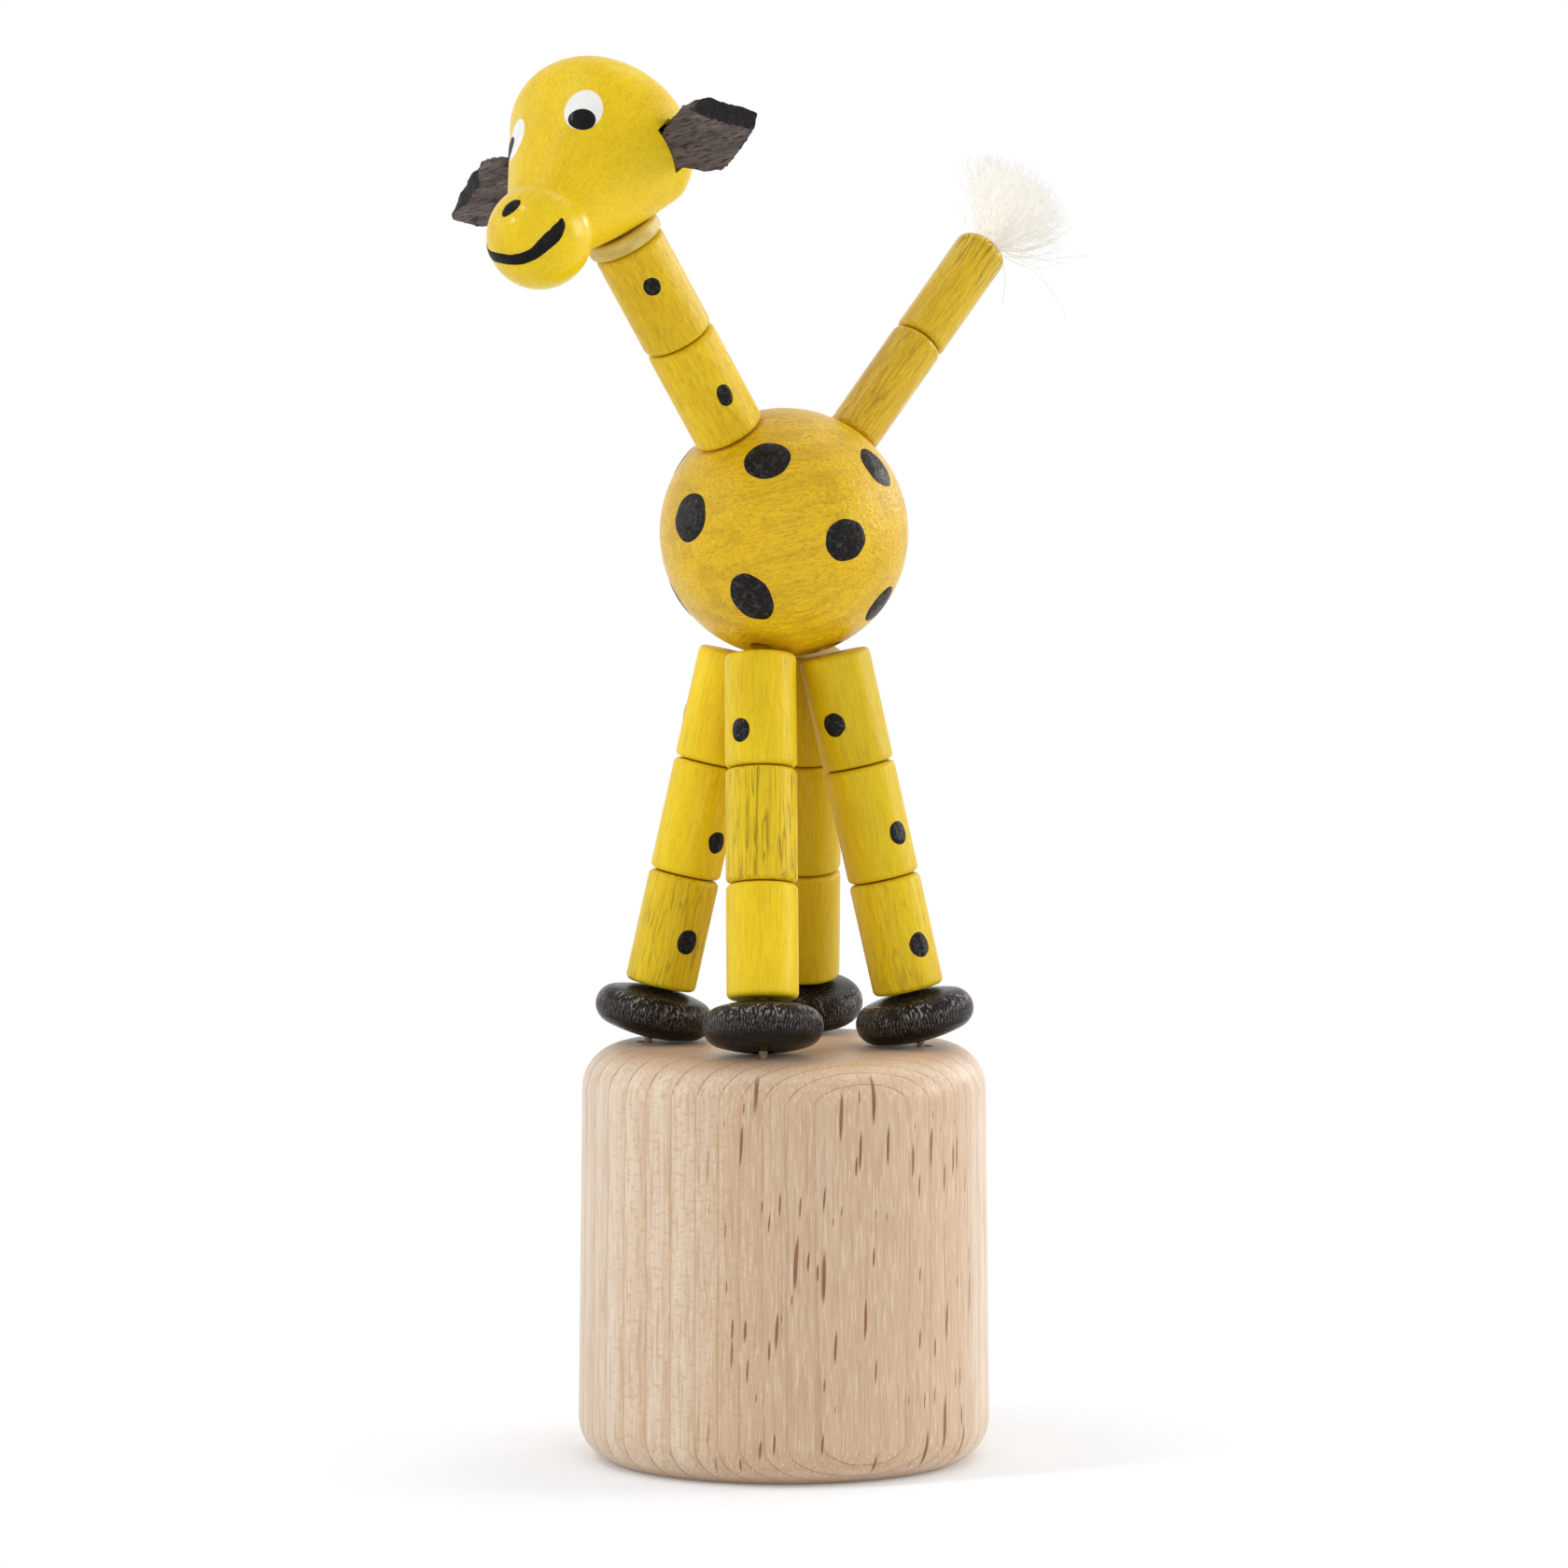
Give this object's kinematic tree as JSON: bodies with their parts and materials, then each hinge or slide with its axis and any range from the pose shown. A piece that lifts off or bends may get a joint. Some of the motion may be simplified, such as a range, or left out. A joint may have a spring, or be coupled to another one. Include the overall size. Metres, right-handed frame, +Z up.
{
  "type": "push puppet",
  "caption": "Giraffe push puppet of strung wooden beads on a turned drum; pressing the sprung disc underneath lets the legs, body, neck and tail go limp.",
  "frame": {"origin": "middle of the drum's underside, on the surface it stands on", "axes": "+Z up; the giraffe faces -Y and its left side is +X"},
  "size_m": [0.036, 0.0615, 0.1216],
  "materials": {
    "beech": "fine sanded bare beech with short dark flecks",
    "yellow_wood": "yellow stained wood with a thin lacquer, the grain showing",
    "dark_wood": "near black stained wood, satin, with turning lines",
    "tan_wood": "pale lacquered wood",
    "cotton": "twisted cotton cord, frayed at the tail",
    "spring_steel": "drawn wire"
  },
  "bodies": {
    "base": {"base_drum": "beech", "return_spring": "spring_steel"},
    "push_button": {"push_button": "beech", "front_left_cord": "cotton", "front_right_cord": "cotton", "rear_left_cord": "cotton", "rear_right_cord": "cotton"},
    "front_left_foot": {"front_left_foot": "dark_wood"},
    "front_left_lower_bead": {"front_left_lower_bead": "yellow_wood"},
    "front_left_middle_bead": {"front_left_middle_bead": "yellow_wood"},
    "front_left_upper_bead": {"front_left_upper_bead": "yellow_wood"},
    "front_right_foot": {"front_right_foot": "dark_wood"},
    "front_right_lower_bead": {"front_right_lower_bead": "yellow_wood"},
    "front_right_middle_bead": {"front_right_middle_bead": "yellow_wood"},
    "front_right_upper_bead": {"front_right_upper_bead": "yellow_wood"},
    "rear_left_foot": {"rear_left_foot": "dark_wood"},
    "rear_left_lower_bead": {"rear_left_lower_bead": "yellow_wood"},
    "rear_left_middle_bead": {"rear_left_middle_bead": "yellow_wood"},
    "rear_left_upper_bead": {"rear_left_upper_bead": "yellow_wood"},
    "rear_right_foot": {"rear_right_foot": "dark_wood"},
    "rear_right_lower_bead": {"rear_right_lower_bead": "yellow_wood"},
    "rear_right_middle_bead": {"rear_right_middle_bead": "yellow_wood"},
    "rear_right_upper_bead": {"rear_right_upper_bead": "yellow_wood"},
    "body_ball": {"body_ball": "yellow_wood"},
    "neck_lower_bead": {"neck_lower_bead": "yellow_wood"},
    "neck_upper_bead": {"neck_upper_bead": "yellow_wood"},
    "neck_collar": {"neck_collar": "tan_wood"},
    "head": {"head": "yellow_wood", "left_ear": "dark_wood", "right_ear": "dark_wood"},
    "tail_lower_bead": {"tail_lower_bead": "yellow_wood"},
    "tail_upper_bead": {"tail_upper_bead": "yellow_wood", "tail_tuft": "cotton"}
  },
  "joints": [
    {"name": "button_push", "type": "slide", "parent": "base", "child": "push_button", "axis": [0, 0, 1], "range_m": [0, 0.008], "stiffness_N_per_m": 400, "springref_m": -0.01, "deforming": ["return_spring", "front_left_cord", "front_right_cord", "rear_left_cord", "rear_right_cord"]},
    {"name": "front_left_foot_tilt", "type": "hinge", "parent": "base", "child": "front_left_foot", "pos_m": [0.00602, -0.00671, 0.0363], "axis": [0.5592, 0.829, 0], "range_deg": [0, 2]},
    {"name": "front_left_ankle", "type": "hinge", "parent": "front_left_foot", "child": "front_left_lower_bead", "pos_m": [0.01022, -0.00954, 0.04186], "axis": [0.5592, 0.829, 0], "range_deg": [0, 3]},
    {"name": "front_left_low_knee", "type": "hinge", "parent": "front_left_lower_bead", "child": "front_left_middle_bead", "pos_m": [0.00841, -0.00832, 0.05164], "axis": [0.5592, 0.829, 0], "range_deg": [0, 4]},
    {"name": "front_left_high_knee", "type": "hinge", "parent": "front_left_middle_bead", "child": "front_left_upper_bead", "pos_m": [0.0066, -0.0071, 0.06142], "axis": [0.5592, 0.829, 0], "range_deg": [0, 4]},
    {"name": "front_right_foot_tilt", "type": "hinge", "parent": "base", "child": "front_right_foot", "pos_m": [-0.00671, -0.00602, 0.0363], "axis": [0.829, -0.5592, 0], "range_deg": [0, 2]},
    {"name": "front_right_ankle", "type": "hinge", "parent": "front_right_foot", "child": "front_right_lower_bead", "pos_m": [-0.00954, -0.01022, 0.04186], "axis": [0.829, -0.5592, 0], "range_deg": [0, 3]},
    {"name": "front_right_low_knee", "type": "hinge", "parent": "front_right_lower_bead", "child": "front_right_middle_bead", "pos_m": [-0.00832, -0.00841, 0.05164], "axis": [0.829, -0.5592, 0], "range_deg": [0, 4]},
    {"name": "front_right_high_knee", "type": "hinge", "parent": "front_right_middle_bead", "child": "front_right_upper_bead", "pos_m": [-0.0071, -0.0066, 0.06142], "axis": [0.829, -0.5592, 0], "range_deg": [0, 4]},
    {"name": "rear_left_foot_tilt", "type": "hinge", "parent": "base", "child": "rear_left_foot", "pos_m": [0.00671, 0.00602, 0.0363], "axis": [-0.829, 0.5592, 0], "range_deg": [0, 2]},
    {"name": "rear_left_ankle", "type": "hinge", "parent": "rear_left_foot", "child": "rear_left_lower_bead", "pos_m": [0.00954, 0.01022, 0.04186], "axis": [-0.829, 0.5592, 0], "range_deg": [0, 3]},
    {"name": "rear_left_low_knee", "type": "hinge", "parent": "rear_left_lower_bead", "child": "rear_left_middle_bead", "pos_m": [0.00832, 0.00841, 0.05164], "axis": [-0.829, 0.5592, 0], "range_deg": [0, 4]},
    {"name": "rear_left_high_knee", "type": "hinge", "parent": "rear_left_middle_bead", "child": "rear_left_upper_bead", "pos_m": [0.0071, 0.0066, 0.06142], "axis": [-0.829, 0.5592, 0], "range_deg": [0, 4]},
    {"name": "rear_right_foot_tilt", "type": "hinge", "parent": "base", "child": "rear_right_foot", "pos_m": [-0.00602, 0.00671, 0.0363], "axis": [-0.5592, -0.829, 0], "range_deg": [0, 2]},
    {"name": "rear_right_ankle", "type": "hinge", "parent": "rear_right_foot", "child": "rear_right_lower_bead", "pos_m": [-0.01022, 0.00954, 0.04186], "axis": [-0.5592, -0.829, 0], "range_deg": [0, 3]},
    {"name": "rear_right_low_knee", "type": "hinge", "parent": "rear_right_lower_bead", "child": "rear_right_middle_bead", "pos_m": [-0.00841, 0.00832, 0.05164], "axis": [-0.5592, -0.829, 0], "range_deg": [0, 4]},
    {"name": "rear_right_high_knee", "type": "hinge", "parent": "rear_right_middle_bead", "child": "rear_right_upper_bead", "pos_m": [-0.0066, 0.0071, 0.06142], "axis": [-0.5592, -0.829, 0], "range_deg": [0, 4]},
    {"name": "body_roll", "type": "hinge", "parent": "base", "child": "body_ball", "pos_m": [0, 0, 0.08089], "axis": [1, 0, 0], "range_deg": [0, 20]},
    {"name": "neck_base", "type": "hinge", "parent": "body_ball", "child": "neck_lower_bead", "pos_m": [0, -0.00831, 0.08779], "axis": [1, 0, 0], "range_deg": [0, 24]},
    {"name": "neck_middle", "type": "hinge", "parent": "neck_lower_bead", "child": "neck_upper_bead", "pos_m": [0, -0.01371, 0.09593], "axis": [1, 0, 0], "range_deg": [0, 20]},
    {"name": "neck_top", "type": "hinge", "parent": "neck_upper_bead", "child": "neck_collar", "pos_m": [0, -0.0191, 0.10408], "axis": [1, 0, 0], "range_deg": [0, 12]},
    {"name": "head_turn", "type": "hinge", "parent": "neck_collar", "child": "head", "pos_m": [0, -0.01733, 0.10707], "axis": [0, -0.5519, 0.8339], "range_deg": [-40, 40]},
    {"name": "tail_base", "type": "hinge", "parent": "body_ball", "child": "tail_lower_bead", "pos_m": [0, 0.00893, 0.08749], "axis": [1, 0, 0], "range_deg": [-22, 0]},
    {"name": "tail_middle", "type": "hinge", "parent": "tail_lower_bead", "child": "tail_upper_bead", "pos_m": [0, 0.01634, 0.09592], "axis": [1, 0, 0], "range_deg": [-20, 0]}
  ],
  "couplings": [
    {"joint": "front_left_foot_tilt", "follows": "button_push", "rad_per_m": 4.3633},
    {"joint": "front_left_ankle", "follows": "button_push", "rad_per_m": 6.545},
    {"joint": "front_left_low_knee", "follows": "button_push", "rad_per_m": 8.7266},
    {"joint": "front_left_high_knee", "follows": "button_push", "rad_per_m": 8.7266},
    {"joint": "front_right_foot_tilt", "follows": "button_push", "rad_per_m": 4.3633},
    {"joint": "front_right_ankle", "follows": "button_push", "rad_per_m": 6.545},
    {"joint": "front_right_low_knee", "follows": "button_push", "rad_per_m": 8.7266},
    {"joint": "front_right_high_knee", "follows": "button_push", "rad_per_m": 8.7266},
    {"joint": "rear_left_foot_tilt", "follows": "button_push", "rad_per_m": 4.3633},
    {"joint": "rear_left_ankle", "follows": "button_push", "rad_per_m": 6.545},
    {"joint": "rear_left_low_knee", "follows": "button_push", "rad_per_m": 8.7266},
    {"joint": "rear_left_high_knee", "follows": "button_push", "rad_per_m": 8.7266},
    {"joint": "rear_right_foot_tilt", "follows": "button_push", "rad_per_m": 4.3633},
    {"joint": "rear_right_ankle", "follows": "button_push", "rad_per_m": 6.545},
    {"joint": "rear_right_low_knee", "follows": "button_push", "rad_per_m": 8.7266},
    {"joint": "rear_right_high_knee", "follows": "button_push", "rad_per_m": 8.7266},
    {"joint": "body_roll", "follows": "button_push", "rad_per_m": 43.633},
    {"joint": "neck_base", "follows": "button_push", "rad_per_m": 52.36},
    {"joint": "neck_middle", "follows": "button_push", "rad_per_m": 43.633},
    {"joint": "neck_top", "follows": "button_push", "rad_per_m": 26.18},
    {"joint": "tail_base", "follows": "button_push", "rad_per_m": -47.997},
    {"joint": "tail_middle", "follows": "button_push", "rad_per_m": -43.633}
  ]
}
